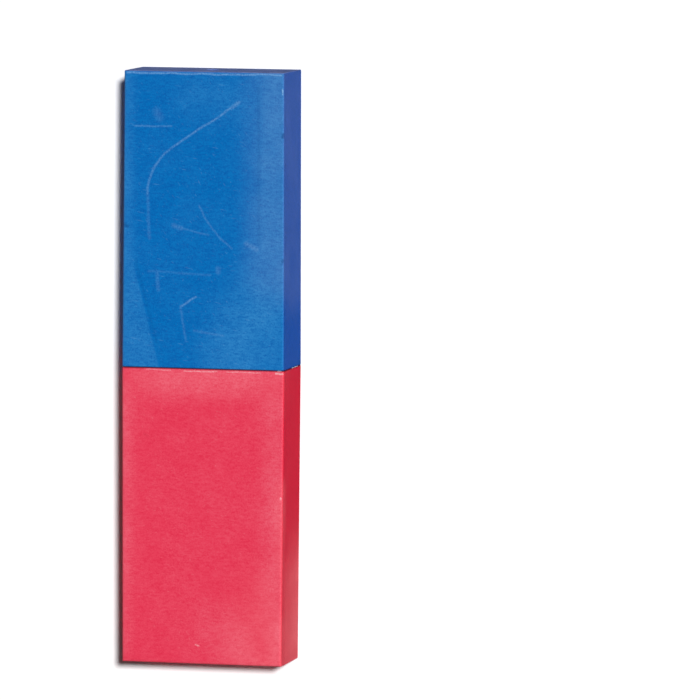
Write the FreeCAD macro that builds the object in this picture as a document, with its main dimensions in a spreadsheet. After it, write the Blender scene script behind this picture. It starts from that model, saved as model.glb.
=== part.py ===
import FreeCAD, Part
import os
import Sketcher

# A plastic-cased bar magnet: two moulded caps, one blue and one red, lapped and cemented at
# mid length over a stack of ferrite blocks. Millimetres. The bar lies on a broad face: +Z is up,
# +X runs along the bar to the blue pole, Y runs across it. The origin is on the underside, under
# the middle of the seam.

# Driving sizes: alias, value, meaning.
SIZES = [
    ("bar_length", 80.0, "overall, pole face to pole face"),
    ("bar_width", 22.5, "overall, across the seam"),
    ("bar_height", 10.0, "overall, underside to top face"),
    ("side_draft", 0.25, "degrees, on the narrow sides and in the cavity"),
    ("edge_round", 0.38, "radius along the broad faces' edges"),
    ("corner_round", 0.12, "radius of the four upright corners"),
    ("seam_bevel", 0.14, "one side of the V groove round the seam"),
    ("side_wall", 1.2, "casing wall round the blocks"),
    ("end_wall", 1.2, "casing wall behind each pole face"),
    ("spigot_reach", 3.0, "how far the blue spigot enters the red cap"),
    ("spigot_wall", 0.6, "thickness of the spigot"),
    ("spigot_lead", 0.2, "bevel round the spigot's tip"),
    ("cement_gap", 0.08, "film of cement round and ahead of the spigot"),
    ("rib_rise", 0.5, "gap that the crush ribs fill round the blocks"),
    ("rib_width", 1.0, "width of a crush rib"),
    ("rib_pitch", 10.0, "between the two ribs on a broad wall"),
    ("rib_start", 1.0, "from the end of the lap joint to a rib"),
    ("rib_root", 0.3, "how deep a rib is rooted in its wall"),
    ("pad_thickness", 1.3, "foam between the stack and an end wall"),
    ("pad_round", 1.0, "corner radius of the foam"),
    ("block_chamfer", 0.35, "pressed edge of a ferrite block"),
    ("gate_diameter", 1.8, "moulding gate's dimple in a pole face"),
    ("gate_depth", 0.12, "depth of that dimple"),
]
BLOCK_NAMES = ["ferrite_block_red_end", "ferrite_block_middle", "ferrite_block_blue_end"]
NEAR = 1e-4  # lengths that differ by less count as equal

# Sizes that follow from the driving ones, as the sheet's expressions.
HALF_LENGTH = "dims.bar_length / 2"
END_WIDTH = "dims.bar_width - dims.bar_length * tan(dims.side_draft)"
CAVITY_WIDTH = "dims.bar_width - 2 * dims.side_wall"
CAVITY_HEIGHT = "dims.bar_height - 2 * dims.side_wall"
CAVITY_DEPTH = "dims.bar_length / 2 - dims.end_wall"
SPIGOT_WIDTH = CAVITY_WIDTH + " + 2 * dims.spigot_wall"
SPIGOT_HEIGHT = CAVITY_HEIGHT + " + 2 * dims.spigot_wall"
SOCKET_WIDTH = SPIGOT_WIDTH + " + 2 * dims.cement_gap"
SOCKET_HEIGHT = SPIGOT_HEIGHT + " + 2 * dims.cement_gap"
SOCKET_DEPTH = "dims.spigot_reach + dims.cement_gap"
BLOCK_WIDTH = CAVITY_WIDTH + " - 2 * dims.rib_rise"
BLOCK_HEIGHT = CAVITY_HEIGHT + " - 2 * dims.rib_rise"
HALF_BLOCK_WIDTH = "(" + BLOCK_WIDTH + ") / 2"
HALF_BLOCK_HEIGHT = "(" + BLOCK_HEIGHT + ") / 2"
BLOCK_LENGTH = "(dims.bar_length - 2 * (dims.end_wall + dims.pad_thickness)) / %d" % len(BLOCK_NAMES)
RIB_START = "(" + SOCKET_DEPTH + " + dims.rib_start)"

doc = FreeCAD.newDocument("bar_magnet")
sheet = doc.addObject("Spreadsheet::Sheet", "dims")
for row, (alias, value, meaning) in enumerate(SIZES, start=1):
    sheet.set("A%d" % row, alias)
    sheet.set("B%d" % row, str(value))
    sheet.set("C%d" % row, meaning)
    sheet.setAlias("B%d" % row, alias)
doc.recompute()


def value_of(expression):
    """What an expression of the sheet's aliases comes to, in mm."""
    return float(sheet.evalExpression(expression))


def new_body(name):
    """A piece, modelled about the bar's centre line and lifted to lie on the ground."""
    body = doc.addObject("PartDesign::Body", name)
    body.Label = name
    body.setExpression("Placement.Base.z", "dims.bar_height / 2")
    return body


def origin_plane(body, role):
    for feature in body.Origin.OriginFeatures:
        if feature.Role == role:
            return feature
    raise ValueError("no origin plane " + role)


def new_sketch(body, name, role, shift=None):
    """A sketch on one of the body's own origin planes, moved along its normal by an expression."""
    sketch = body.newObject("Sketcher::SketchObject", name)
    sketch.AttachmentSupport = (origin_plane(body, role), [""])
    sketch.MapMode = "FlatFace"
    if shift:
        sketch.setExpression("AttachmentOffset.Base.z", shift)
    return sketch


def bind(sketch, name, kind, points, expression):
    """Adds a named dimension whose value the sheet drives."""
    index = sketch.addConstraint(Sketcher.Constraint(kind, *points, value_of(expression)))
    sketch.renameConstraint(index, name)
    sketch.setExpression("Constraints." + name, expression)


def add_loop(sketch, corners):
    """Straight lines from corner to corner and back to the first; returns the first line's index."""
    first = sketch.GeometryCount
    for start, end in zip(corners, corners[1:] + corners[:1]):
        sketch.addGeometry(Part.LineSegment(FreeCAD.Vector(*start, 0), FreeCAD.Vector(*end, 0)), False)
    for step in range(len(corners)):
        following = first + (step + 1) % len(corners)
        sketch.addConstraint(Sketcher.Constraint("Coincident", first + step, 2, following, 1))
    return first


def add_rectangle(sketch, name, left, low, width, height):
    """A level rectangle with driven sizes and its place still free; returns its lower line's index."""
    right = left + value_of(width)
    high = low + value_of(height)
    first = add_loop(sketch, [(left, low), (right, low), (right, high), (left, high)])
    for step, direction in enumerate(["Horizontal", "Vertical", "Horizontal", "Vertical"]):
        sketch.addConstraint(Sketcher.Constraint(direction, first + step))
    bind(sketch, name + "_width", "DistanceX", (first, 1, first, 2), width)
    bind(sketch, name + "_height", "DistanceY", (first + 1, 1, first + 1, 2), height)
    return first


def centred_rectangle(sketch, name, width, height):
    """A rectangle about the sketch's own centre, with both sizes driven by expressions."""
    first = add_rectangle(sketch, name, -value_of(width) / 2, -value_of(height) / 2, width, height)
    sketch.addConstraint(Sketcher.Constraint("Symmetric", first, 1, first + 1, 2, -1, 1))


def extrude(body, kind, name, sketch, length, reverse=False, symmetric=False):
    """A pad or pocket of a driven length."""
    feature = body.newObject(kind, name)
    feature.Profile = sketch
    feature.setExpression("Length", length)
    feature.Reversed = reverse
    if symmetric:
        feature.SideType = "Symmetric"
    doc.recompute()
    return feature


def edges_where(feature, test):
    return ["Edge%d" % n for n, edge in enumerate(feature.Shape.Edges, start=1) if test(edge.BoundBox)]


def dress(body, kind, name, base, size_property, expression, test):
    """A fillet or chamfer on the edges of the base that pass the test."""
    feature = body.newObject(kind, name)
    feature.Base = (base, edges_where(base, test))
    feature.setExpression(size_property, expression)
    doc.recompute()
    return feature


def cap_outline(body, name):
    """Plan of one cap: full width at the seam, narrower by the draft at the pole face."""
    sketch = new_sketch(body, name + "_plan", "XY_Plane")
    pole = value_of(HALF_LENGTH)
    half_end = value_of(END_WIDTH) / 2
    half_seam = value_of("dims.bar_width") / 2
    add_loop(sketch, [(0, -half_seam), (pole, -half_end), (pole, half_end), (0, half_seam)])
    sketch.addConstraint(Sketcher.Constraint("PointOnObject", 0, 1, -2))
    sketch.addConstraint(Sketcher.Constraint("Symmetric", 0, 1, 3, 1, -1))
    sketch.addConstraint(Sketcher.Constraint("Symmetric", 1, 1, 1, 2, -1))
    bind(sketch, "cap_length", "DistanceX", (-1, 1, 1, 1), HALF_LENGTH)
    bind(sketch, "seam_width", "DistanceY", (0, 1, 3, 1), "dims.bar_width")
    bind(sketch, "end_width", "DistanceY", (1, 1, 1, 2), END_WIDTH)
    return sketch


def mirror_feature(body, name, original, role):
    """The original and its mirror image in one of the body's origin planes."""
    pair = body.newObject("PartDesign::Mirrored", name)
    pair.Originals = [original]
    pair.MirrorPlane = (origin_plane(body, role), [""])
    body.Tip = pair
    doc.recompute()


def add_ribs(body, name):
    """Crush ribs that centre the blocks: two on each broad wall and one on each narrow wall."""
    rib_length = CAVITY_DEPTH + " - " + RIB_START + " + dims.rib_root"
    foot_to_root = "dims.rib_rise + dims.rib_root"

    broad = new_sketch(body, name + "_broad_ribs", "YZ_Plane", RIB_START)
    low = value_of(HALF_BLOCK_HEIGHT)
    half_pitch = value_of("dims.rib_pitch") / 2
    half_rib = value_of("dims.rib_width") / 2
    near_rib = add_rectangle(broad, "near", -half_pitch - half_rib, low, "dims.rib_width", foot_to_root)
    far_rib = add_rectangle(broad, "far", half_pitch - half_rib, low, "dims.rib_width", foot_to_root)
    bind(broad, "foot", "DistanceY", (-1, 1, near_rib, 1), HALF_BLOCK_HEIGHT)
    bind(broad, "pitch", "DistanceX", (near_rib, 1, far_rib, 1), "dims.rib_pitch")
    broad.addConstraint(Sketcher.Constraint("Symmetric", near_rib, 1, far_rib, 2, -2))
    broad_pad = extrude(body, "PartDesign::Pad", name + "_broad_rib_pad", broad, rib_length)
    mirror_feature(body, name + "_broad_rib_pairs", broad_pad, "XY_Plane")

    narrow = new_sketch(body, name + "_narrow_rib", "YZ_Plane", RIB_START)
    left = value_of(HALF_BLOCK_WIDTH)
    rib = add_rectangle(narrow, "rib", left, -half_rib, foot_to_root, "dims.rib_width")
    bind(narrow, "foot", "DistanceX", (-1, 1, rib, 1), HALF_BLOCK_WIDTH)
    bind(narrow, "below", "DistanceY", (rib, 1, -1, 1), "dims.rib_width / 2")
    narrow_pad = extrude(body, "PartDesign::Pad", name + "_narrow_rib_pad", narrow, rib_length)
    mirror_feature(body, name + "_narrow_rib_pair", narrow_pad, "XZ_Plane")


def make_cap(name):
    """A five-sided cap, open at the seam, with rounded edges, a tapered cavity and a gate dimple."""
    body = new_body(name)
    pole = value_of(HALF_LENGTH)
    middle = sheet.bar_height / 2

    outline = cap_outline(body, name)
    block = extrude(body, "PartDesign::Pad", name + "_block", outline, "dims.bar_height", symmetric=True)
    rounded = dress(
        body, "PartDesign::Fillet", name + "_edge_rounds", block, "Radius", "dims.edge_round",
        lambda box: box.ZLength < NEAR and box.XMax > NEAR,
    )
    rounded = dress(
        body, "PartDesign::Fillet", name + "_corner_rounds", rounded, "Radius", "dims.corner_round",
        lambda box: box.XMin > pole - NEAR and box.YLength < NEAR and box.ZLength > middle,
    )
    solid_cap = dress(
        body, "PartDesign::Chamfer", name + "_seam_bevel", rounded, "Size", "dims.seam_bevel",
        lambda box: box.XMax < NEAR,
    )

    mouth = new_sketch(body, name + "_cavity_mouth", "YZ_Plane")
    centred_rectangle(mouth, "cavity", CAVITY_WIDTH, CAVITY_HEIGHT)
    cavity = extrude(body, "PartDesign::Pocket", name + "_cavity", mouth, CAVITY_DEPTH, reverse=True)
    cavity.setExpression("TaperAngle", "-dims.side_draft")
    doc.recompute()
    straight_cavity = value_of(CAVITY_WIDTH) * value_of(CAVITY_HEIGHT) * value_of(CAVITY_DEPTH)
    cut_away = solid_cap.Shape.Volume - cavity.Shape.Volume
    if not NEAR < cut_away < straight_cavity:
        raise RuntimeError(name + ": the cavity is cut or tapered the wrong way")
    add_ribs(body, name)

    gate = new_sketch(body, name + "_gate_sketch", "YZ_Plane", HALF_LENGTH)
    rim = Part.Circle(FreeCAD.Vector(0, 0, 0), FreeCAD.Vector(0, 0, 1), sheet.gate_diameter / 2)
    gate.addGeometry(rim, False)
    gate.addConstraint(Sketcher.Constraint("Coincident", 0, 3, -1, 1))
    bind(gate, "diameter", "Diameter", (0,), "dims.gate_diameter")
    extrude(body, "PartDesign::Pocket", name + "_gate_dimple", gate, "dims.gate_depth")
    return body


def make_blue_shell():
    """The blue cap carries the spigot of the lap joint."""
    body = make_cap("blue_shell")
    ring = new_sketch(body, "spigot_ring", "YZ_Plane")
    centred_rectangle(ring, "outer", SPIGOT_WIDTH, SPIGOT_HEIGHT)
    centred_rectangle(ring, "inner", CAVITY_WIDTH, CAVITY_HEIGHT)
    spigot = extrude(body, "PartDesign::Pad", "spigot", ring, "dims.spigot_reach", reverse=True)
    bore_side = value_of(CAVITY_WIDTH) / 2 + NEAR
    bore_top = value_of(CAVITY_HEIGHT) / 2 + NEAR
    dress(
        body, "PartDesign::Chamfer", "spigot_tip", spigot, "Size", "dims.spigot_lead",
        lambda box: box.XMax < NEAR - sheet.spigot_reach and (box.YMax > bore_side or box.ZMax > bore_top),
    )
    return body


def make_red_shell():
    """The red cap is the same moulding turned round, with the socket for the spigot."""
    body = make_cap("red_shell")
    mouth = new_sketch(body, "socket_mouth", "YZ_Plane")
    centred_rectangle(mouth, "socket", SOCKET_WIDTH, SOCKET_HEIGHT)
    extrude(body, "PartDesign::Pocket", "socket", mouth, SOCKET_DEPTH, reverse=True)
    body.Placement.Rotation = FreeCAD.Rotation(FreeCAD.Vector(0, 0, 1), 180)
    return body


def make_seam_cement():
    """The film of cement between spigot and socket."""
    body = new_body("seam_cement")
    outer = new_sketch(body, "cement_outer", "YZ_Plane")
    centred_rectangle(outer, "socket", SOCKET_WIDTH, SOCKET_HEIGHT)
    extrude(body, "PartDesign::Pad", "cement_fill", outer, SOCKET_DEPTH, reverse=True)
    spigot = new_sketch(body, "cement_spigot", "YZ_Plane")
    centred_rectangle(spigot, "spigot", SPIGOT_WIDTH, SPIGOT_HEIGHT)
    extrude(body, "PartDesign::Pocket", "cement_round_spigot", spigot, "dims.spigot_reach")
    bore = new_sketch(body, "cement_bore", "YZ_Plane")
    centred_rectangle(bore, "cavity", CAVITY_WIDTH, CAVITY_HEIGHT)
    extrude(body, "PartDesign::Pocket", "cement_cavity", bore, SOCKET_DEPTH)
    return body


def make_ferrite_block(name, place):
    """One pressed ferrite block; place counts from the red end."""
    body = new_body(name)
    section = new_sketch(body, name + "_section", "YZ_Plane")
    centred_rectangle(section, "block", BLOCK_WIDTH, BLOCK_HEIGHT)
    pressing = extrude(body, "PartDesign::Pad", name + "_pressing", section, BLOCK_LENGTH, symmetric=True)
    dress(
        body, "PartDesign::Chamfer", name + "_chamfer", pressing, "Size", "dims.block_chamfer",
        lambda box: True,
    )
    middle = (len(BLOCK_NAMES) - 1) / 2
    body.setExpression("Placement.Base.x", "%g * %s" % (place - middle, BLOCK_LENGTH))
    return body


def make_end_pad(name, side):
    """Die-cut foam that fills the space between the stack and a pole's end wall."""
    body = new_body(name)
    section = new_sketch(body, name + "_section", "YZ_Plane")
    centred_rectangle(section, "pad", BLOCK_WIDTH, BLOCK_HEIGHT)
    foam = extrude(body, "PartDesign::Pad", name + "_foam", section, "dims.pad_thickness", symmetric=True)
    dress(
        body, "PartDesign::Fillet", name + "_corners", foam, "Radius", "dims.pad_round",
        lambda box: box.YLength < NEAR and box.ZLength < NEAR,
    )
    centre = "(" + CAVITY_DEPTH + " - dims.pad_thickness / 2)"
    body.setExpression("Placement.Base.x", "%d * %s" % (side, centre))
    return body


bodies = [make_blue_shell(), make_red_shell(), make_seam_cement()]
for place, block_name in enumerate(BLOCK_NAMES):
    bodies.append(make_ferrite_block(block_name, place))
bodies.append(make_end_pad("foam_pad_red_end", -1))
bodies.append(make_end_pad("foam_pad_blue_end", 1))
doc.recompute()

for item in doc.Objects:
    if "Invalid" in item.State or "Error" in item.State:
        raise RuntimeError(item.Label + " failed: " + str(item.State))
for body in bodies:
    if body.Shape.isNull() or not body.Shape.isValid() or len(body.Shape.Solids) != 1:
        raise RuntimeError(body.Label + " is not one valid solid")

os.makedirs("parts", exist_ok=True)
for body in bodies:
    body.Shape.exportStep(os.path.join("parts", body.Label + ".step"))
    box = body.Shape.BoundBox
    print("%-24s %9.2f mm3  x %.2f..%.2f  y %.2f..%.2f  z %.2f..%.2f" % (
        body.Label, body.Shape.Volume, box.XMin, box.XMax, box.YMin, box.YMax, box.ZMin, box.ZMax))
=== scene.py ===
import math

import bmesh
import bpy
from mathutils import Matrix, Vector


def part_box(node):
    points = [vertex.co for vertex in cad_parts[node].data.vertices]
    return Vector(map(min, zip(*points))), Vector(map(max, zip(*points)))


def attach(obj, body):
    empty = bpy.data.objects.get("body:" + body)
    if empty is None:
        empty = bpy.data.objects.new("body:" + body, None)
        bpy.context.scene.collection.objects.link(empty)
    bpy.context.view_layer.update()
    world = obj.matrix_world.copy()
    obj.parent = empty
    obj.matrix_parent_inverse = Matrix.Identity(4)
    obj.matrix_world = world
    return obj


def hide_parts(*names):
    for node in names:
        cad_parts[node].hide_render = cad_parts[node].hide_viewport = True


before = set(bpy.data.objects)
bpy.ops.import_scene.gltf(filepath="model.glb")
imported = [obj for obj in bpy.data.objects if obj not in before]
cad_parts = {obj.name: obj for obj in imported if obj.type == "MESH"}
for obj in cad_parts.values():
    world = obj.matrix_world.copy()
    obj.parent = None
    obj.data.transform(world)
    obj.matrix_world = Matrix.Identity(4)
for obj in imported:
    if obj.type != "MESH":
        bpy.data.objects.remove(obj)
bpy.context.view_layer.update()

# A bar magnet in a two-part moulded case: blue cap towards +X, red cap towards -X, seam at x = 0.
# Sizes below are in millimetres; mm turns them into Blender's metres.
mm = 0.001


def linearColour(hexCode):
    # sRGB hex to the linear colour that the shaders want
    channels = []
    for start in (0, 2, 4):
        value = int(hexCode[start:start + 2], 16) / 255
        channels.append(value / 12.92 if value <= 0.04045 else ((value + 0.055) / 1.055) ** 2.4)
    return (*channels, 1)


def addNode(tree, kind, settings=None, inputs=None):
    # one node and its inputs, by name or in order; a node given as an input gives its first live output
    node = tree.nodes.new(kind)
    for name, value in (settings or {}).items():
        setattr(node, name, value)
    pairs = inputs.items() if isinstance(inputs, dict) else enumerate(inputs or ())
    for name, value in pairs:
        if isinstance(value, bpy.types.Node):
            value = next(socket for socket in value.outputs if socket.enabled)
        if isinstance(value, bpy.types.NodeSocket):
            tree.links.new(value, node.inputs[name])
        else:
            node.inputs[name].default_value = value
    return node


def newMaterial(name):
    # an empty node material with its output; returns the material, its tree and the output node
    material = bpy.data.materials.new(name)
    material.use_nodes = True
    tree = material.node_tree
    tree.nodes.clear()
    output = addNode(tree, "ShaderNodeOutputMaterial")
    return material, tree, output


def placeInMillimetres(tree):
    # Object coordinates, scaled so that every pattern is set out in mm
    coordinates = addNode(tree, "ShaderNodeTexCoord")
    return addNode(tree, "ShaderNodeVectorMath", {"operation": "SCALE"},
                   {0: coordinates.outputs["Object"], "Scale": 1 / mm})


def addCube(name, low, high):
    # a box between two corners, in metres, which the cap is then shaped from
    bpy.ops.object.select_all(action="DESELECT")
    bpy.ops.mesh.primitive_cube_add(size=1, location=(low + high) / 2)
    piece = bpy.context.object
    piece.name = name
    piece.data.name = name
    piece.scale = high - low
    bpy.ops.object.transform_apply(location=True, rotation=True, scale=True)
    return piece


def pickFaces(piece, test):
    # in edit mode: selects the faces whose centre and normal pass the test
    bpy.ops.mesh.select_mode(type="FACE")
    bpy.ops.mesh.select_all(action="DESELECT")
    mesh = bmesh.from_edit_mesh(piece.data)
    for face in mesh.faces:
        if test(face.calc_center_median() / mm, face.normal):
            face.select_set(True)
    bmesh.update_edit_mesh(piece.data)


def pickEdges(piece, test):
    # in edit mode: selects the edges whose two ends pass the test
    bpy.ops.mesh.select_mode(type="EDGE")
    bpy.ops.mesh.select_all(action="DESELECT")
    mesh = bmesh.from_edit_mesh(piece.data)
    for edge in mesh.edges:
        if test(edge.verts[0].co / mm, edge.verts[1].co / mm):
            edge.select_set(True)
    bmesh.update_edit_mesh(piece.data)


def moveExtruded(x=0, y=0, z=0):
    # extrudes what is selected and moves it by mm
    bpy.ops.mesh.extrude_region_move(TRANSFORM_OT_translate={"value": (x * mm, y * mm, z * mm)})


def resizeAbout(centre, factors):
    # scales what is selected about a centre in mm
    bpy.ops.transform.resize(value=factors, center_override=[c * mm for c in centre])


def applyModifier(piece, kind, **settings):
    # adds one modifier with its settings and applies it at once
    bpy.context.view_layer.objects.active = piece
    bpy.ops.object.modifier_add(type=kind)
    modifier = piece.modifiers[-1]
    for name, value in settings.items():
        setattr(modifier, name, value)
    bpy.ops.object.modifier_apply(modifier=modifier.name)


blueLow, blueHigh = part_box("blue_shell")
cementLow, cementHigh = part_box("seam_cement")
blockLow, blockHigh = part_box("ferrite_block_middle")

capFacts = {
    "length": blueHigh.x / mm,  # seam to pole face
    "width": 2 * blueHigh.y / mm,  # at the seam
    "height": blueHigh.z / mm,
    "draft": 0.25,  # degrees, so that each cap leaves its mould
    "edgeRound": 0.38,  # along the broad faces
    "cornerRound": 0.12,  # upright corners at the pole face
    "seamBevel": 0.14,
    "wall": 1.2,
    "spigotReach": -blueLow.x / mm,
    "spigotWall": 0.6,
    "spigotLead": 0.2,
    "socketDepth": -cementLow.x / mm,
    "socketHalfWidth": cementHigh.y / mm,
    "ribWidth": 1.0,
    "ribPitch": 10.0,
    "ribGap": 1.0,  # from the lap joint to a rib
    "ribShort": 0.3,  # a rib stops this far from the end wall
    "blockHalfWidth": blockHigh.y / mm,
    "blockHalfHeight": (blockHigh.z - blockLow.z) / 2 / mm,
    "sinkDepth": 0.05,  # broad faces draw in a little as the plastic cools
    "sinkMargins": (1.6, 1.7, 3.2),  # from the rim of a broad face inwards, ring by ring
    "sinkShares": (0.0, 0.6, 0.4),  # of the sink, at each ring
    "gateRadius": 0.9,
    "gateDepth": 0.12,
    "gateRimBevel": 0.035,
    "gateMargins": (0.12, 0.42),  # from the dimple's rim in to the torn-off gate
    "gateNub": 0.07,  # the torn-off gate stands this high in its dimple
    "gateNubSkew": (0.05, -0.04),  # it tore unevenly: off centre in y and z
    "gateNubSpread": (0.62, 0.7),  # and narrower at its top
    "smoothAngle": 32,  # degrees
}
near = 0.01  # mm, places that differ by less count as equal


def cutHollow(piece, facts, joint):
    # the mouth: a spigot that stands out of the blue cap, or a socket sunk in the red one
    middle = facts["height"] / 2
    depth = facts["length"] - facts["wall"]
    taper = 2 * depth * math.tan(math.radians(facts["draft"]))
    cavityWidth = facts["width"] - 2 * facts["wall"]
    cavityHeight = facts["height"] - 2 * facts["wall"]
    pickFaces(piece, lambda centre, normal: normal.x < -0.9)
    if joint == "spigot":
        land = facts["wall"] - facts["spigotWall"]
        bpy.ops.mesh.inset(thickness=land * mm)
        moveExtruded(x=-facts["spigotReach"])
        bpy.ops.mesh.inset(thickness=facts["spigotWall"] * mm)
        moveExtruded(x=facts["spigotReach"])
    else:
        land = facts["width"] / 2 - facts["socketHalfWidth"]
        bpy.ops.mesh.inset(thickness=land * mm)
        moveExtruded(x=facts["socketDepth"])
        bpy.ops.mesh.inset(thickness=(facts["wall"] - land) * mm)
        depth -= facts["socketDepth"]
    moveExtruded(x=depth)
    resizeAbout((0, 0, middle), (1, 1 - taper / cavityWidth, 1 - taper / cavityHeight))


def raiseRibs(piece, facts):
    # crush ribs that hold the blocks: two on each broad wall, one on each narrow wall
    middle = facts["height"] / 2
    half = facts["ribWidth"] / 2
    start = facts["socketDepth"] + facts["ribGap"]
    end = facts["length"] - facts["wall"] - facts["ribShort"]
    walls = [
        (Vector((0, 0, -1)), "y", (-facts["ribPitch"] / 2, facts["ribPitch"] / 2)),
        (Vector((0, 0, 1)), "y", (-facts["ribPitch"] / 2, facts["ribPitch"] / 2)),
        (Vector((0, -1, 0)), "z", (middle,)),
        (Vector((0, 1, 0)), "z", (middle,)),
    ]
    for inward, across, places in walls:
        def onWall(centre, normal):
            return (
                normal.dot(inward) > 0.99 and centre.x > start - facts["ribGap"] - near
                and abs(centre.y) < facts["width"] / 2 - 0.5 * facts["wall"]
                and abs(centre.z - middle) < middle - 0.5 * facts["wall"]
            )
        cuts = [("x", start), ("x", end)]
        for place in places:
            cuts += [(across, place - half), (across, place + half)]
        for axis, place in cuts:
            pickFaces(piece, onWall)
            point = Vector((0, 0, 0))
            setattr(point, axis, place * mm)
            direction = Vector((0, 0, 0))
            setattr(direction, axis, 1)
            bpy.ops.mesh.bisect(plane_co=point, plane_no=direction)
        pickFaces(piece, lambda centre, normal: (
            onWall(centre, normal) and start < centre.x < end
            and any(abs(getattr(centre, across) - place) < half for place in places)
        ))
        moveExtruded()
        if across == "y":
            level = middle - inward.z * facts["blockHalfHeight"]
            resizeAbout((0, 0, level), (1, 1, 0))
        else:
            level = -inward.y * facts["blockHalfWidth"]
            resizeAbout((0, level, 0), (1, 0, 1))


def roundOutside(piece, facts):
    # one bevel with two radii: full on the broad faces' edges, small on the upright corners
    def outside(point):
        return abs(point.y) > facts["width"] / 2 - 0.5 * facts["wall"]

    def broadEdge(a, b):
        flat = abs(a.z - b.z) < near and (abs(a.z) < near or abs(a.z - facts["height"]) < near)
        return flat and outside(a) and outside(b) and max(a.x, b.x) > near

    def uprightCorner(a, b):
        return min(a.x, b.x) > facts["length"] - near and abs(a.z - b.z) > 0.9 * facts["height"]

    pickEdges(piece, broadEdge)
    bpy.ops.transform.edge_bevelweight(value=1)
    pickEdges(piece, uprightCorner)
    bpy.ops.transform.edge_bevelweight(value=facts["cornerRound"] / facts["edgeRound"])
    bpy.ops.object.mode_set(mode="OBJECT")
    applyModifier(piece, "BEVEL", width=facts["edgeRound"] * mm, segments=7, limit_method="WEIGHT")
    bpy.ops.object.mode_set(mode="EDIT")


def bevelRims(piece, facts, joint):
    # the seam's V groove, and the lead-in round the tip of the spigot
    middle = facts["height"] / 2
    halfWidth = facts["width"] / 2
    halfLand = 0.5 * min(facts["wall"] - facts["spigotWall"], halfWidth - facts["socketHalfWidth"])

    def onRim(point):
        outer = abs(point.y) > halfWidth - halfLand or abs(point.z - middle) > middle - halfLand
        return outer and abs(point.x) < near

    pickEdges(piece, lambda a, b: onRim(a) and onRim(b))
    bpy.ops.mesh.bevel(offset=facts["seamBevel"] * mm, segments=2, profile=0.6, affect="EDGES")
    if joint == "spigot":
        outerHalf = halfWidth - facts["wall"] + facts["spigotWall"]
        outerHigh = middle - facts["wall"] + facts["spigotWall"]

        def onTip(point):
            outer = abs(point.y) > outerHalf - near or abs(point.z - middle) > outerHigh - near
            return outer and point.x < near - facts["spigotReach"]

        pickEdges(piece, lambda a, b: onTip(a) and onTip(b))
        bpy.ops.mesh.bevel(offset=facts["spigotLead"] * mm, segments=1, affect="EDGES")


def sinkBroadFaces(piece, facts):
    # rings inside the rim of each broad face, each a little lower, so that the face dishes
    for side in (-1, 1):
        level = facts["height"] if side > 0 else 0
        pickFaces(piece, lambda centre, normal: normal.z * side > 0.999 and abs(centre.z - level) < near)
        for share, margin in zip(facts["sinkShares"], facts["sinkMargins"]):
            bpy.ops.mesh.inset(thickness=margin * mm)
            bpy.ops.transform.translate(value=(0, 0, -side * share * facts["sinkDepth"] * mm))


def cutGate(piece, facts):
    # the dimple where the mould's gate was, with the torn stub of plastic in its middle
    middle = facts["height"] / 2
    bpy.ops.object.mode_set(mode="OBJECT")
    bpy.ops.object.select_all(action="DESELECT")
    bpy.ops.mesh.primitive_cylinder_add(
        vertices=40, radius=facts["gateRadius"] * mm, depth=2 * facts["gateDepth"] * mm,
        location=(facts["length"] * mm, 0, middle * mm), rotation=(0, math.pi / 2, 0))
    cutter = bpy.context.object
    bpy.ops.object.transform_apply(location=True, rotation=True, scale=True)
    bpy.ops.object.select_all(action="DESELECT")
    piece.select_set(True)
    applyModifier(piece, "BOOLEAN", operation="DIFFERENCE", object=cutter, solver="EXACT")
    bpy.data.objects.remove(cutter)
    bpy.ops.object.mode_set(mode="EDIT")
    floorAt = facts["length"] - facts["gateDepth"]
    pickFaces(piece, lambda centre, normal: (
        normal.x > 0.9 and abs(centre.x - floorAt) < near and abs(centre.y) < facts["gateRadius"]
    ))
    for margin in facts["gateMargins"]:
        bpy.ops.mesh.inset(thickness=margin * mm)
    moveExtruded(x=facts["gateNub"])
    skewAcross, skewUp = facts["gateNubSkew"]
    resizeAbout((0, skewAcross, middle + skewUp), (1, *facts["gateNubSpread"]))

    def onGateRim(point):
        away = math.hypot(point.y, point.z - middle)
        return abs(point.x - facts["length"]) < near and abs(away - facts["gateRadius"]) < near

    pickEdges(piece, lambda a, b: onGateRim(a) and onGateRim(b))
    bpy.ops.mesh.bevel(offset=facts["gateRimBevel"] * mm, segments=2, affect="EDGES")


def makeCap(name, facts, joint):
    # a cap is modelled with its mouth at x = 0 and its pole face towards +X
    low = Vector((0, -facts["width"] / 2, 0)) * mm
    high = Vector((facts["length"], facts["width"] / 2, facts["height"])) * mm
    piece = addCube(name, low, high)
    bpy.ops.object.mode_set(mode="EDIT")
    middle = facts["height"] / 2
    narrowing = 2 * facts["length"] * math.tan(math.radians(facts["draft"]))
    pickFaces(piece, lambda centre, normal: normal.x > 0.9)
    resizeAbout((facts["length"], 0, middle), (1, 1 - narrowing / facts["width"], 1))
    cutHollow(piece, facts, joint)
    raiseRibs(piece, facts)
    roundOutside(piece, facts)
    bevelRims(piece, facts, joint)
    sinkBroadFaces(piece, facts)
    cutGate(piece, facts)
    bpy.ops.mesh.select_all(action="SELECT")
    bpy.ops.mesh.remove_doubles(threshold=0.0005 * mm)
    bpy.ops.mesh.normals_make_consistent(inside=False)
    bpy.ops.object.mode_set(mode="OBJECT")
    bpy.ops.object.select_all(action="DESELECT")
    piece.select_set(True)
    if joint == "socket":  # the red cap is turned to face the blue one
        piece.rotation_euler.z = math.pi
        bpy.ops.object.transform_apply(location=True, rotation=True, scale=True)
    bpy.ops.object.shade_smooth_by_angle(angle=math.radians(facts["smoothAngle"]))
    applyModifier(piece, "WEIGHTED_NORMAL", keep_sharp=True, weight=80)  # flat faces stay flat
    return piece


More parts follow.
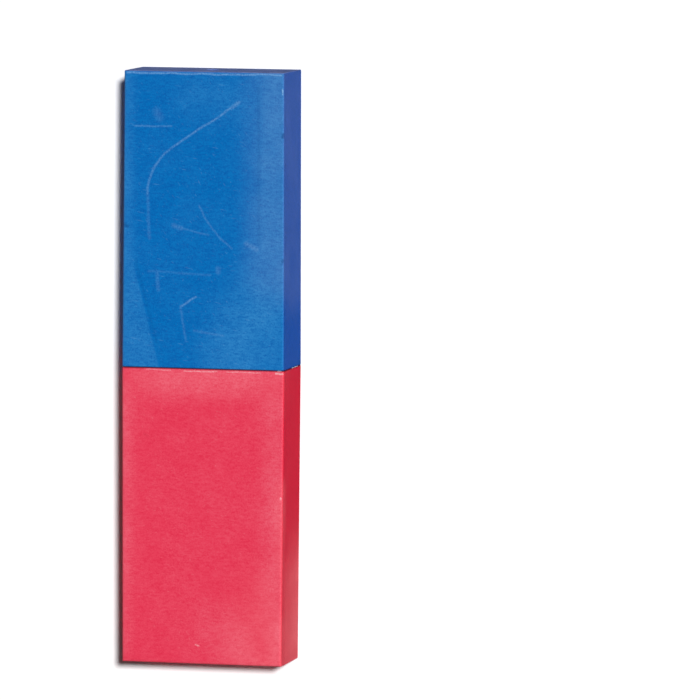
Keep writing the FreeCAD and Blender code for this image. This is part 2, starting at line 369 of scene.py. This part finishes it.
blueCasing = makeCap("blueCasing", capFacts, "spigot")
redCasing = makeCap("redCasing", capFacts, "socket")
print("caps modelled:", len(blueCasing.data.polygons), len(redCasing.data.polygons))


def makeStrokeGroup():
    # 1 on the line from Start along Run, falling softly to 0 at Width
    group = bpy.data.node_groups.new("strokeMark", "ShaderNodeTree")
    for name in ("Place", "Start", "Run"):
        group.interface.new_socket(name, in_out="INPUT", socket_type="NodeSocketVector")
    for name in ("Core", "Width"):
        group.interface.new_socket(name, in_out="INPUT", socket_type="NodeSocketFloat")
    group.interface.new_socket("Mask", in_out="OUTPUT", socket_type="NodeSocketFloat")
    given = addNode(group, "NodeGroupInput").outputs
    run = given["Run"]
    fromStart = addNode(group, "ShaderNodeVectorMath", {"operation": "SUBTRACT"},
                        (given["Place"], given["Start"]))
    along = addNode(group, "ShaderNodeVectorMath", {"operation": "DOT_PRODUCT"}, (fromStart, run))
    squared = addNode(group, "ShaderNodeVectorMath", {"operation": "DOT_PRODUCT"}, (run, run))
    share = addNode(group, "ShaderNodeMath", {"operation": "DIVIDE", "use_clamp": True}, (along, squared))
    foot = addNode(group, "ShaderNodeVectorMath", {"operation": "SCALE"}, {0: run, "Scale": share})
    away = addNode(group, "ShaderNodeVectorMath", {"operation": "DISTANCE"}, (fromStart, foot))
    mask = addNode(group, "ShaderNodeMapRange", {"interpolation_type": "SMOOTHSTEP"},
                   (away, given["Core"], given["Width"], 1.0, 0.0))
    addNode(group, "NodeGroupOutput", None, {"Mask": mask})
    return group


strokeGroup = makeStrokeGroup()


def strokeMask(tree, place, marks):
    # the strongest of the marks at each place; a mark is its points, half width, core and strength
    total = 0.0
    for points, width, core, strength in marks:
        # a point with no height lies on the top face
        spots = [Vector(point if len(point) == 3 else (*point, capFacts["height"])) for point in points]
        for start, end in zip(spots, spots[1:]):
            stroke = addNode(tree, "ShaderNodeGroup", {"node_tree": strokeGroup},
                             (place, start, end - start, core * width, width))
            shown = addNode(tree, "ShaderNodeMath", {"operation": "MULTIPLY"}, (stroke, strength))
            total = addNode(tree, "ShaderNodeMath", {"operation": "MAXIMUM"}, (total, shown))
    return total


def bowed(start, handle, end, pieces=6):
    # points of one smooth bend, drawn towards its handle
    shares = [step / pieces for step in range(pieces + 1)]
    a, b, c = Vector(start), Vector(handle), Vector(end)
    return [tuple(a * (1 - t) ** 2 + b * 2 * t * (1 - t) + c * t ** 2) for t in shares]


def blotches(tree, place, sizes, detail, turn=(0, 0, 0)):
    # a pattern whose blotches are sizes mm long in x, y and z, turned before it is stretched
    laid = addNode(tree, "ShaderNodeMapping", {"vector_type": "TEXTURE"},
                   {"Vector": place, "Scale": sizes, "Rotation": turn})
    return addNode(tree, "ShaderNodeTexNoise", None,
                   {"Vector": laid, "Scale": 1.0, "Detail": detail, "Roughness": 0.6})


plasticFacts = {
    # mm inwards from the outline, over which each part of the surface begins
    "faceFade": (0.16, 0.07),
    "edgeShadeFade": (0.6, 0.3),
    "poleFade": (0.1, 0.03),
    "grooveFade": (0.05, 0.17),  # mm from the seam, over which the painted shade in the groove ends
    # sizes of the patterns in mm; real grain and hairs are finer, and would not show from here
    "cloud": (4.5, 4.5, 4.5),
    "scuff": (0.2, 0.2, 0.2),
    "grain": (0.24, 0.7, 0.24),
    "hair": (4.0, 0.16, 0.16),
    "bend": (2.9, 2.9, 2.9),  # how soon a scratch changes direction
    "wander": 0.5,  # mm, how far a scratch strays from side to side
    "roughness": (0.32, 0.4),
    # how much rougher the plastic is under the painted sheen
    "sheenRoughness": 0.1,
    "scratchRoughness": 0.2,
    "grainHeight": 0.008,  # mm
    "hairDepth": 4.0,  # in grain heights
    "ior": 1.53,
}


def mouldedAbs(name, facts):
    # Injection-moulded ABS, years in a school drawer: a strong colour with a soft gloss, pale scratches,
    # nicks and a fine grain across the bar. Painted light lies over it: painted sheen on the broad faces,
    # painted reflection on the narrow sides and pole face, painted highlights on a few edges, and painted
    # shade along the rounded edges and in the seam groove.
    material, tree, output = newMaterial(name)
    place = placeInMillimetres(tree)
    halfHeight = capFacts["height"] / 2
    poleAt = capFacts["length"]

    # scratches follow a place that wanders a little
    wander = blotches(tree, place, plasticFacts["bend"], 2.0).outputs["Color"]
    wobble = addNode(tree, "ShaderNodeVectorMath", {"operation": "SUBTRACT"}, (wander, (0.5, 0.5, 0.5)))
    stray = (plasticFacts["wander"], plasticFacts["wander"], 0)
    drawn = addNode(tree, "ShaderNodeVectorMath", {"operation": "MULTIPLY_ADD"}, (wobble, stray, place))

    cloud = blotches(tree, place, plasticFacts["cloud"], 3.0)  # tone that drifts along
    scuffs = blotches(tree, place, plasticFacts["scuff"], 2.0)
    grain = blotches(tree, place, plasticFacts["grain"], 3.0)  # fine lines across the bar
    both = addNode(tree, "ShaderNodeMath", {"operation": "ADD"}, (scuffs, grain))
    fine = addNode(tree, "ShaderNodeMath", {"operation": "MULTIPLY"}, (both, 0.5))
    gritRange = (0.36, 0.64, 1 - facts["contrast"], 1 + facts["contrast"])
    grit = addNode(tree, "ShaderNodeMapRange", None, (fine, *gritRange))

    # where on the bar: broad faces, the band of painted shade along the rounded edges, pole face, and the
    # groove at the seam
    spot = addNode(tree, "ShaderNodeSeparateXYZ", None, (place,)).outputs
    above = addNode(tree, "ShaderNodeMath", {"operation": "SUBTRACT"}, (spot["Z"], halfHeight))
    outward = addNode(tree, "ShaderNodeMath", {"operation": "ABSOLUTE"}, (above,))
    along = addNode(tree, "ShaderNodeMath", {"operation": "ABSOLUTE"}, (spot["X"],))
    zones = []
    for distance, outline, fade in (
        (outward, halfHeight, "faceFade"), (outward, halfHeight, "edgeShadeFade"), (along, poleAt, "poleFade"),
    ):
        limits = (outline - plasticFacts[fade][0], outline - plasticFacts[fade][1])
        zones.append(addNode(tree, "ShaderNodeMapRange", {"interpolation_type": "SMOOTHSTEP"},
                             (distance, *limits, 0.0, 1.0)))
    broad, edgeShadeBand, pole = zones
    # painted shade in the seam's groove, darkest at the seam
    groove = addNode(tree, "ShaderNodeMapRange", None,
                     (along, *plasticFacts["grooveFade"], facts["grooveShade"], 0.0))

    # painted sheen: a pale wash over the broad faces that stands in for the gloss's reflection, drifting in
    # strength and thicker where the marks say
    sheenDrift = addNode(tree, "ShaderNodeMapRange", None, (cloud, 0.35, 0.7, *facts["paintedSheen"]))
    uneven = addNode(tree, "ShaderNodeMapRange", None, (cloud, 0.3, 0.7, 0.7, 1.15))
    marked = strokeMask(tree, place, facts["sheenPatches"])
    sheenPatches = addNode(tree, "ShaderNodeMath", {"operation": "MULTIPLY_ADD"}, (marked, uneven, sheenDrift))
    onFaces = addNode(tree, "ShaderNodeMath", {"operation": "MULTIPLY"}, (sheenPatches, broad))
    paintedSheen = addNode(tree, "ShaderNodeMath", {"operation": "MULTIPLY", "use_clamp": True}, (onFaces, grit))

    # painted reflection: a pale wash on the narrow sides and the pole face that stands in for what they
    # reflect
    poleReflection = addNode(tree, "ShaderNodeMath", {"operation": "MULTIPLY"}, (pole, facts["poleReflection"]))
    reflected = addNode(tree, "ShaderNodeMath", {"operation": "MAXIMUM"},
                   (strokeMask(tree, place, facts["paintedReflection"]), poleReflection))
    patchy = addNode(tree, "ShaderNodeMapRange", None, (cloud, 0.32, 0.62, 0.8, 1.15))
    speckled = addNode(tree, "ShaderNodeMapRange", None, (fine, 0.3, 0.7, 0.75, 1.25))
    texture = addNode(tree, "ShaderNodeMath", {"operation": "MULTIPLY"}, (patchy, speckled))
    paintedReflection = addNode(tree, "ShaderNodeMath", {"operation": "MULTIPLY", "use_clamp": True}, (reflected, texture))

    # pale scratches drawn one by one, broken up by the scuffs, and hair scratches everywhere; a few of the
    # drawn lines are painted highlights, along the blue cap's top edge at its pole end and along the red
    # cap's bevel at the seam
    hairs = 0.0
    for turn in facts["hairTurns"]:
        lines = blotches(tree, drawn, plasticFacts["hair"], 1.0, turn)
        shown = addNode(tree, "ShaderNodeMapRange", None, (lines, 0.7, 0.78, 0.0, facts["hairs"]))
        hairs = addNode(tree, "ShaderNodeMath", {"operation": "MAXIMUM"}, (hairs, shown))
    broken = addNode(tree, "ShaderNodeMapRange", None, (scuffs, 0.36, 0.6, 0.3, 1.0))
    strokes = strokeMask(tree, drawn, facts["scratchesAndHighlights"])
    scratchesAndHighlights = addNode(tree, "ShaderNodeMath", {"operation": "MULTIPLY"}, (strokes, broken))
    scratchAndHighlightMask = addNode(tree, "ShaderNodeMath", {"operation": "MAXIMUM", "use_clamp": True},
                        (scratchesAndHighlights, hairs))
    # nicks, and dark lines of painted shade at the edges of the painted sheen
    nicksAndShadeLines = strokeMask(tree, place, facts["nicksAndShadeLines"])

    # the colours, laid over each other; the sides, the rounded edges and the broad faces each have their
    # own copy of the plastic's colour, matched to how light falls on them: a deeper, clearer band of
    # painted shade on the rounded edges
    deeper = addNode(tree, "ShaderNodeMapRange", None, (fine, 0.35, 0.6, facts["deepShare"], 0.0))
    colour = linearColour(facts["plastic"])
    for mask, colourName in (
        (edgeShadeBand, "edge"), (broad, "face"), (deeper, "deep"), (paintedSheen, "sheenColour"), (paintedReflection, "reflectionColour"),
        (scratchAndHighlightMask, "scratchAndHighlightColour"), (nicksAndShadeLines, "nickAndShadeColour"), (groove, "grooveShadeColour"),
    ):
        colour = addNode(tree, "ShaderNodeMix", {"data_type": "RGBA"},
                         {0: mask, 6: colour, 7: linearColour(facts[colourName])})

    # the painted sheen and the scratches are rougher than clean plastic
    roughness = addNode(tree, "ShaderNodeMapRange", None, (cloud, 0.3, 0.7, *plasticFacts["roughness"]))
    for mask, rise in ((paintedSheen, "sheenRoughness"), (scratchAndHighlightMask, "scratchRoughness")):
        roughness = addNode(tree, "ShaderNodeMath", {"operation": "MULTIPLY_ADD"},
                            (mask, plasticFacts[rise], roughness))

    # grain stands up a little and the hair scratches are cut in
    relief = addNode(tree, "ShaderNodeMath", {"operation": "MULTIPLY_ADD"},
                     (hairs, -plasticFacts["hairDepth"], fine))
    bump = addNode(tree, "ShaderNodeBump", None,
                   {"Strength": 0.6, "Distance": plasticFacts["grainHeight"] * mm, "Height": relief})

    shader = addNode(tree, "ShaderNodeBsdfPrincipled", None,
                     {"Base Color": colour, "Roughness": roughness, "IOR": plasticFacts["ior"],
                      "Normal": bump})
    tree.links.new(shader.outputs["BSDF"], output.inputs["Surface"])
    return material


# a mark is its points (x along the bar, y across, and z off the top face), half width, share of
# that which is full strength, and strength
blueFinish = {
    # the blue of the sides and pole face, with a violet tinge that is painted reflection
    "plastic": "1C57C0",
    # the rounded edges' colour, deeper as painted shade
    "edge": "004CA4",
    "face": "006EB7",
    "deep": "0054A2",
    # the colour of the painted sheen
    "sheenColour": "3687C5",
    # the colour of the painted reflection
    "reflectionColour": "A6ACCC",
    # the colour of the scratches and of the painted highlights
    "scratchAndHighlightColour": "86B4DE",
    # the colour of the nicks and of the painted shade lines
    "nickAndShadeColour": "003A7A",
    # how much painted sheen lies over the broad faces everywhere
    "paintedSheen": (0.0, 0.08),
    "contrast": 0.7,
    "deepShare": 0.85,
    # painted shade in the seam's groove
    "grooveShade": 0.9,
    "grooveShadeColour": "10224A",
    # painted reflection over the pole face
    "poleReflection": 0.4,
    "hairs": 0.14,
    "hairTurns": [(0.3, 0.2, 0.7), (0.1, 0.9, -0.5), (0.8, 0.1, 1.4)],
    "scratchesAndHighlights": [
        ([(35.6, -4.3), (29.8, 4.3)], 0.25, 0.0, 0.38),
        (bowed((29.8, 4.3), (27.6, 7.6), (23.5, 7.8)), 0.26, 0.0, 0.28),
        ([(23.5, 7.8), (17.5, 7.5)], 0.36, 0.0, 0.11),
        ([(35.9, -4.8), (35.2, -3.8)], 0.4, 0.1, 0.3),
        ([(32.5, 9.5), (32.6, 4.5)], 0.2, 0.0, 0.25),
        (bowed((22.0, 0.6), (18.7, -0.8), (16.3, -4.0), 4), 0.22, 0.0, 0.18),
        ([(19.0, 3.8), (18.1, -0.7)], 0.22, 0.0, 0.17),
        ([(8.4, 3.2), (9.7, 1.0)], 0.24, 0.1, 0.36),
        ([(8.2, 3.2), (3.9, 2.3)], 0.28, 0.0, 0.13),
        ([(5.1, 1.2), (4.5, -2.8)], 0.28, 0.0, 0.14),
        ([(17, -5.9), (16.3, -7.3)], 0.5, 0.1, 0.22),
        ([(12.9, 6.4), (10.6, 6.2)], 0.4, 0.1, 0.12),
        ([(13.6, -2.1), (13.1, -2.1)], 0.55, 0.1, 0.14),
        ([(19.2, 4.1), (18.9, 3.1)], 0.5, 0.1, 0.18),
        ([(34.6, 6.5), (33.7, 6.1)], 0.9, 0.0, 0.11),
        ([(37.8, -10.9), (37.2, -10.9)], 0.16, 0.3, 0.9),
        # a painted highlight along the rounded top edge at the pole end
        ([(39.7, 10.6), (39.7, -10.6)], 0.2, 0.1, 0.5),
        ([(13.0, 7.5), (12.7, -1)], 0.28, 0.0, 0.1),
    ],
    # painted sheen: paler strips and patches on the top face where the gloss would reflect
    "sheenPatches": [
        ([(17, -9.7), (39.5, -9.7)], 1.9, 0.8, 0.3),
        ([(1, -9.6), (39.5, -9.4)], 5.0, 0.0, 0.26),
        ([(39.5, 11.4), (0.5, 11.4)], 2.6, 0.1, 0.3),
        ([(14, 12.6), (-1, 8.7)], 3.0, 0.88, 0.3),
        ([(9, -8), (1, -5)], 8.0, 0.1, 0.4),
        ([(37, 1), (35, -7)], 5.0, 0.0, 0.2),
    ],
    # painted reflection along the blue cap's long side
    "paintedReflection": [
        ([(38, -11.1, 5), (14, -11.2, 5)], 9.0, 0.4, 0.09),
    ],
    "nicksAndShadeLines": [
        ([(31.75, -11.0), (31.4, -10.95)], 0.36, 0.1, 0.75),
        ([(14.9, -11.05), (14.7, -11)], 0.32, 0.1, 0.6),
        # a dark line of painted shade beside the strip of painted sheen on the right
        ([(38, -7.5), (17, -7.7)], 0.35, 0.1, 0.12),
        ([(19.3, 11), (19, 10.5)], 0.35, 0.1, 0.5),
        # a dark line of painted shade along the edge of the painted sheen on the left
        ([(14.6, 9.4), (3.4, 6.4)], 0.3, 0.1, 0.14),
    ],
}
redFinish = {
    "plastic": "E4163A",
    # the rounded edges' colour, deeper as painted shade
    "edge": "E8203E",
    # the broad faces' red, paler and pinker than the sides as painted sheen
    "face": "E2294B",
    "deep": "D21C3E",
    # the colour of the painted sheen
    "sheenColour": "E9687A",
    # the colour of the painted reflection
    "reflectionColour": "FA7A82",
    # the colour of the scratches and of the painted highlights
    "scratchAndHighlightColour": "F6C2C8",
    # the colour of the nicks and of the painted shade lines
    "nickAndShadeColour": "A80F28",
    # how much painted sheen lies over the broad faces everywhere
    "paintedSheen": (0.17, 0.29),
    "contrast": 0.6,
    "deepShare": 0.6,
    # painted shade in the seam's groove
    "grooveShade": 0.8,
    "grooveShadeColour": "5E1024",
    # painted reflection over the pole face
    "poleReflection": 0.22,
    "hairs": 0.1,
    "hairTurns": [(0.5, 0.3, 0.4), (0.2, 1.1, -0.8), (0.9, 0.2, 1.2)],
    "scratchesAndHighlights": [
        # painted highlights along the red cap's bevel at the seam
        ([(-0.3, 7.8), (-0.3, 4.4)], 0.12, 0.1, 0.35),
        ([(-0.3, 2.6), (-0.3, -1.9)], 0.14, 0.1, 0.55),
        ([(-0.3, -3.4), (-0.3, -8)], 0.12, 0.1, 0.45),
        ([(-0.34, -10.2), (-0.34, -11.1)], 0.2, 0.2, 0.8),
        ([(-17.2, -11), (-17.35, -11)], 0.16, 0.3, 1.0),
        ([(-37.4, 0.8), (-37.5, 0.4)], 0.2, 0.2, 0.4),
    ],
    # painted sheen: paler strips and patches on the top face where the gloss would reflect
    "sheenPatches": [
        ([(-1.2, 7), (-1.2, -10)], 4.5, 0.0, 0.33),
        ([(-1, -10), (-38, -10.6)], 3.4, 0.0, 0.3),
        ([(-34.7, -1.7), (-38.9, -6.5)], 4.5, 0.0, 0.25),
        ([(-3, 11.2), (-38, 11.2)], 2.6, 0.0, 0.3),
    ],
    # painted reflection on the red cap's long side, strongest low down towards the red end
    "paintedReflection": [
        ([(-41, -11, 1), (-33, -11.1, 0)], 15.0, 0.0, 0.62),
        ([(-16, -11.2, 9.4), (-38, -11.1, 9.4)], 2.2, 0.1, 0.16),
        # painted sheen on the top face along the seam
        ([(-0.6, 8), (-0.6, -10)], 5.5, 0.0, 0.1),
    ],
    "nicksAndShadeLines": [
        ([(-9, 8), (-9.3, 7.6)], 0.3, 0.2, 0.15),
        ([(-0.1, 10.8), (-0.1, 8.2)], 0.2, 0.2, 0.4),
    ],
}

blueCasing.data.materials.append(mouldedAbs("mouldedBlueAbs", blueFinish))
redCasing.data.materials.append(mouldedAbs("mouldedRedAbs", redFinish))
print("plastic finished")


cementFacts = {
    # centre x, y, z and size x, y, z of each bead
    "beads": [
        (0.0, -11.19, 4.7, 0.17, 0.08, 1.2),
        (0.02, -11.19, 3.4, 0.2, 0.08, 0.9),
        (0.0, -11.19, 2.3, 0.15, 0.08, 0.9),
        (-0.09, 1.2, 9.93, 0.07, 2.2, 0.06),
        (-0.09, -5.4, 9.93, 0.07, 2.8, 0.06),
        (-0.05, -10.6, 9.92, 0.14, 0.8, 0.07),
        (-0.09, 6.6, 9.93, 0.06, 1.2, 0.05),
        (0.0, 11.19, 6.1, 0.14, 0.08, 1.4),
        (0.0, 4.0, 0.07, 0.14, 2.6, 0.08),
    ],
    "roughen": 0.04,
    "lump": 0.25,  # mm
    "colours": ("F4FBFF", "A9D0E2"),
    "cloud": (0.4, 0.4, 0.4),
    "roughness": (0.3, 0.6),
    "relief": 0.01,  # mm
    "ior": 1.48,
}


def makeCementBeads(facts):
    # cement that squeezed out of the lap joint and dried in the groove, as one piece
    texture = bpy.data.textures.new("cementLumps", type="CLOUDS")
    texture.noise_scale = facts["lump"] * mm
    beads = []
    for x, y, z, sizeX, sizeY, sizeZ in facts["beads"]:
        bpy.ops.object.select_all(action="DESELECT")
        bpy.ops.mesh.primitive_ico_sphere_add(subdivisions=4, radius=0.5, location=(x * mm, y * mm, z * mm))
        bead = bpy.context.object
        bead.scale = (sizeX * mm, sizeY * mm, sizeZ * mm)
        bpy.ops.object.transform_apply(location=True, rotation=True, scale=True)
        applyModifier(bead, "DISPLACE", texture=texture, strength=facts["roughen"] * mm,
                      mid_level=0.6, texture_coords="LOCAL")
        beads.append(bead)
    bpy.ops.object.select_all(action="DESELECT")
    for bead in beads:
        bead.select_set(True)
    bpy.context.view_layer.objects.active = beads[0]
    bpy.ops.object.join()
    piece = bpy.context.object
    piece.name = "cementBeads"
    piece.data.name = "cementBeads"
    bpy.ops.object.shade_smooth()
    return piece


def driedCement(name, facts):
    # Dried solvent cement: cloudy, off-white with a cold tinge, a little shiny where it set thick.
    material, tree, output = newMaterial(name)
    place = placeInMillimetres(tree)
    lumps = blotches(tree, place, facts["cloud"], 4.0)
    thick, thin = [linearColour(hexCode) for hexCode in facts["colours"]]
    colour = addNode(tree, "ShaderNodeMix", {"data_type": "RGBA"}, {0: lumps, 6: thick, 7: thin})
    roughness = addNode(tree, "ShaderNodeMapRange", None, (lumps, 0.0, 1.0, *facts["roughness"]))
    bump = addNode(tree, "ShaderNodeBump", None,
                   {"Strength": 0.5, "Distance": facts["relief"] * mm, "Height": lumps})
    shader = addNode(tree, "ShaderNodeBsdfPrincipled", None,
                     {"Base Color": colour, "Roughness": roughness, "IOR": facts["ior"], "Normal": bump})
    tree.links.new(shader.outputs["BSDF"], output.inputs["Surface"])
    return material


cementFinish = driedCement("driedSolventCement", cementFacts)
cementBeads = makeCementBeads(cementFacts)
cementBeads.data.materials.append(cementFinish)
print("cement laid")


ferriteFacts = {
    "body": "2A2A2D",
    "gritColour": "4A494C",
    "patchColour": "38373B",
    "lineColour": "6C6B6E",
    "grit": (0.2, 0.2, 0.2),  # sizes of the patterns in mm
    "patch": (3.3, 3.3, 3.3),
    "pressLine": (2.5, 0.17, 0.17),
    "roughness": (0.55, 0.85),
    "relief": 0.02,  # mm
    "ior": 1.8,
}


def pressedFerrite(name, facts):
    # Pressed and sintered ferrite: charcoal grey, matt, with fine grit and a few paler press marks.
    material, tree, output = newMaterial(name)
    place = placeInMillimetres(tree)
    grit = blotches(tree, place, facts["grit"], 5.0)
    patches = blotches(tree, place, facts["patch"], 3.0)
    pressLines = blotches(tree, place, facts["pressLine"], 2.0)
    paleLines = addNode(tree, "ShaderNodeMapRange", None, (pressLines, 0.56, 0.7, 0.0, 0.5))
    colour = linearColour(facts["body"])
    for mask, colourName in ((grit, "gritColour"), (patches, "patchColour"), (paleLines, "lineColour")):
        colour = addNode(tree, "ShaderNodeMix", {"data_type": "RGBA"},
                         {0: mask, 6: colour, 7: linearColour(facts[colourName])})
    roughness = addNode(tree, "ShaderNodeMapRange", None, (grit, 0.0, 1.0, *facts["roughness"]))
    bump = addNode(tree, "ShaderNodeBump", None,
                   {"Strength": 0.6, "Distance": facts["relief"] * mm, "Height": grit})
    shader = addNode(tree, "ShaderNodeBsdfPrincipled", None,
                     {"Base Color": colour, "Roughness": roughness, "IOR": facts["ior"], "Normal": bump})
    tree.links.new(shader.outputs["BSDF"], output.inputs["Surface"])
    return material


foamFacts = {
    "skin": "202123",
    "cellWalls": "54565A",
    "cellsPerMm": 3.0,
    "relief": 0.08,  # mm
    "roughness": 0.9,
    "ior": 1.5,
}


def closedCellFoam(name, facts):
    # Die-cut closed-cell foam: dull dark grey, skin broken into cells a third of a millimetre across.
    material, tree, output = newMaterial(name)
    place = placeInMillimetres(tree)
    cells = addNode(tree, "ShaderNodeTexVoronoi", {"feature": "F1"},
                    {"Vector": place, "Scale": facts["cellsPerMm"]})
    walls = addNode(tree, "ShaderNodeMapRange", None, (cells.outputs["Distance"], 0.1, 0.65, 0.0, 1.0))
    colour = addNode(tree, "ShaderNodeMix", {"data_type": "RGBA"},
                     {0: walls, 6: linearColour(facts["skin"]), 7: linearColour(facts["cellWalls"])})
    bump = addNode(tree, "ShaderNodeBump", None,
                   {"Strength": 0.8, "Distance": facts["relief"] * mm, "Height": walls})
    shader = addNode(tree, "ShaderNodeBsdfPrincipled", None,
                     {"Base Color": colour, "Roughness": facts["roughness"], "IOR": facts["ior"],
                      "Normal": bump})
    tree.links.new(shader.outputs["BSDF"], output.inputs["Surface"])
    return material


ferriteFinish = pressedFerrite("sinteredFerrite", ferriteFacts)
foamFinish = closedCellFoam("closedCellFoam", foamFacts)
# what is sealed inside keeps its CAD shape
innerFinishes = {
    "ferrite_block_red_end": ferriteFinish,
    "ferrite_block_middle": ferriteFinish,
    "ferrite_block_blue_end": ferriteFinish,
    "foam_pad_red_end": foamFinish,
    "foam_pad_blue_end": foamFinish,
    "seam_cement": cementFinish,
}
for nodeName, finish in innerFinishes.items():
    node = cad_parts[nodeName]
    node.data.materials.clear()
    node.data.materials.append(finish)
print("inner pieces finished")

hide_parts("blue_shell")
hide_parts("red_shell")
for piece in (blueCasing, redCasing, cementBeads):
    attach(piece, "root")


stageFacts = {
    "floorSize": 8.0,  # metres
    "floorDrop": 0.02,  # mm below the bar, so that the two surfaces never share a plane
    "wallTop": (0.5, 0.85),  # sines of the heights between which the walls turn into ceiling
    "wallLight": 0.08,
    "wallGloss": 0.6,  # how bright the walls and the ceiling look in the gloss
    "ceilingGloss": 0.035,
    "background": 1.0,
    "boardColours": ("FEFEFE", "FBFBFC"),
    "rollerTexture": (1.2, 1.2, 1.2),  # mm
}


def paintedBoard(name, facts):
    # Matt white painted board, with a faint roller texture a millimetre across.
    material, tree, output = newMaterial(name)
    stipple = blotches(tree, placeInMillimetres(tree), facts["rollerTexture"], 2.0)
    high, low = [linearColour(hexCode) for hexCode in facts["boardColours"]]
    colour = addNode(tree, "ShaderNodeMix", {"data_type": "RGBA"}, {0: stipple, 6: high, 7: low})
    shader = addNode(tree, "ShaderNodeBsdfPrincipled", None,
                     {"Base Color": colour, "Roughness": 0.9, "Specular IOR Level": 0.1})
    tree.links.new(shader.outputs["BSDF"], output.inputs["Surface"])
    return material


def makeFloor(facts):
    bpy.ops.object.select_all(action="DESELECT")
    bpy.ops.mesh.primitive_plane_add(size=facts["floorSize"], location=(0, 0, -facts["floorDrop"] * mm))
    floor = bpy.context.object
    floor.name = "studioFloor"
    floor.data.materials.append(paintedBoard("paintedBoard", facts))
    floor.visible_glossy = False  # a white floor would wash out the low sides


def makeWorld(facts):
    # white behind the object; weak light from the walls; and for gloss, pale walls over a dark floor
    world = bpy.data.worlds.new("studioRoom")
    bpy.context.scene.world = world
    world.use_nodes = True
    tree = world.node_tree
    tree.nodes.clear()
    ray = addNode(tree, "ShaderNodeLightPath").outputs
    direction = addNode(tree, "ShaderNodeTexCoord").outputs["Generated"]
    height = addNode(tree, "ShaderNodeSeparateXYZ", None, (direction,)).outputs["Z"]
    aboveFloor = addNode(tree, "ShaderNodeMapRange", None, (height, -0.05, 0.1, 0.0, 1.0))
    belowCeiling = addNode(tree, "ShaderNodeMapRange", None, (height, *facts["wallTop"], 1.0, 0.0))
    walls = addNode(tree, "ShaderNodeMath", {"operation": "MULTIPLY"}, (aboveFloor, belowCeiling))
    ceiling = addNode(tree, "ShaderNodeMapRange", None,
                      (height, *facts["wallTop"], 0.0, facts["ceilingGloss"]))
    gloss = addNode(tree, "ShaderNodeMath", {"operation": "MULTIPLY_ADD"},
                    (walls, facts["wallGloss"], ceiling))
    light = addNode(tree, "ShaderNodeMath", {"operation": "MULTIPLY"}, (walls, facts["wallLight"]))
    strength = 0.0
    for isRay, shade in (
        ("Is Camera Ray", facts["background"]), ("Is Glossy Ray", gloss), ("Is Diffuse Ray", light),
    ):
        strength = addNode(tree, "ShaderNodeMath", {"operation": "MULTIPLY_ADD"},
                           (ray[isRay], shade, strength))
    room = addNode(tree, "ShaderNodeBackground", None, {"Color": (1, 1, 1, 1), "Strength": strength})
    addNode(tree, "ShaderNodeOutputWorld", None, {"Surface": room})


def addKey(facts):
    # the main light is far away, so that the floor is lit evenly out to the horizon
    light = bpy.data.lights.new("keyLight", "SUN")
    light.angle = math.radians(facts["softness"])
    light.energy = facts["strength"]
    key = bpy.data.objects.new("keyLight", light)
    bpy.context.scene.collection.objects.link(key)
    key.rotation_euler = Vector(facts["towards"]).to_track_quat("Z", "Y").to_euler()
    key.visible_glossy = False  # its glare would hide the plastic's colour


def addPanel(name, facts):
    # a round soft box that faces the bar
    towards = Vector(facts["towards"]).normalized()
    light = bpy.data.lights.new(name, "AREA")
    light.shape = "DISK"
    light.size = facts["size"]
    light.energy = facts["power"]
    light.color = linearColour(facts["colour"])[:3]
    panel = bpy.data.objects.new(name, light)
    bpy.context.scene.collection.objects.link(panel)
    panel.location = towards * facts["distance"]
    panel.rotation_euler = towards.to_track_quat("Z", "Y").to_euler()
    panel.visible_diffuse = facts["lights"]
    panel.visible_glossy = facts["gloss"]
    panel.visible_camera = False


keyFacts = {
    "towards": (0.212, -0.354, 1),  # so that a short shadow falls to +Y and -X
    "softness": 5.6,  # degrees across
    "strength": 3.5,
}
panels = {
    # low on the -Y side, for the bar's long side
    "sideFill": {"towards": (0.1, -1, 0.35), "distance": 1.2, "size": 0.6, "power": 0.9,
                 "colour": "FFFFFF", "lights": True, "gloss": False},
    # only seen in the gloss of the broad face
    "sheenPanel": {"towards": (-0.09, 0.22, 0.97), "distance": 1.0, "size": 0.9, "power": 0.12,
                   "colour": "FFFFFF", "lights": False, "gloss": True},
    # a low strip of gloss along the rounded edges at the blue end
    "endStrip": {"towards": (1, -0.1, 0.25), "distance": 0.8, "size": 0.35, "power": 0.9,
                 "colour": "FFFFFF", "lights": False, "gloss": True},
}

cameraFacts = {
    "lens": 380.7,  # mm
    "sensor": 36,
    "clip": (0.01, 20),  # metres
    "distance": 0.9953,  # metres, from the aim
    "aim": (2.64, -19.16, 5.0),  # mm
    "leanAcross": 13.03,  # degrees, towards -Y
    "leanAlong": 5.23,  # degrees, towards +X
    "roll": 0.37,
}


def makeCamera(facts):
    camera = bpy.data.cameras.new("benchCamera")
    camera.lens = facts["lens"]
    camera.sensor_width = facts["sensor"]
    camera.clip_start, camera.clip_end = facts["clip"]
    camera.dof.use_dof = False
    holder = bpy.data.objects.new("benchCamera", camera)
    bpy.context.scene.collection.objects.link(holder)
    # the camera's own axes, leaned over the bar and rolled
    along = math.tan(math.radians(facts["leanAlong"]))
    across = math.tan(math.radians(facts["leanAcross"]))
    back = Vector((along, -across, 1)).normalized()
    right = Vector((1, 0, 0)).cross(back).normalized()
    top = back.cross(right)
    turn = Matrix.Rotation(math.radians(facts["roll"]), 3, back)
    right = turn @ right
    top = turn @ top
    place = Vector(facts["aim"]) * mm + back * facts["distance"]
    holder.matrix_world = Matrix((
        (right.x, top.x, back.x, place.x),
        (right.y, top.y, back.y, place.y),
        (right.z, top.z, back.z, place.z),
        (0, 0, 0, 1),
    ))
    bpy.context.scene.camera = holder


makeFloor(stageFacts)
makeWorld(stageFacts)
addKey(keyFacts)
for panelName, panelFacts in panels.items():
    addPanel(panelName, panelFacts)
makeCamera(cameraFacts)
bpy.context.scene.view_settings.view_transform = "Standard"
print("stage lit")
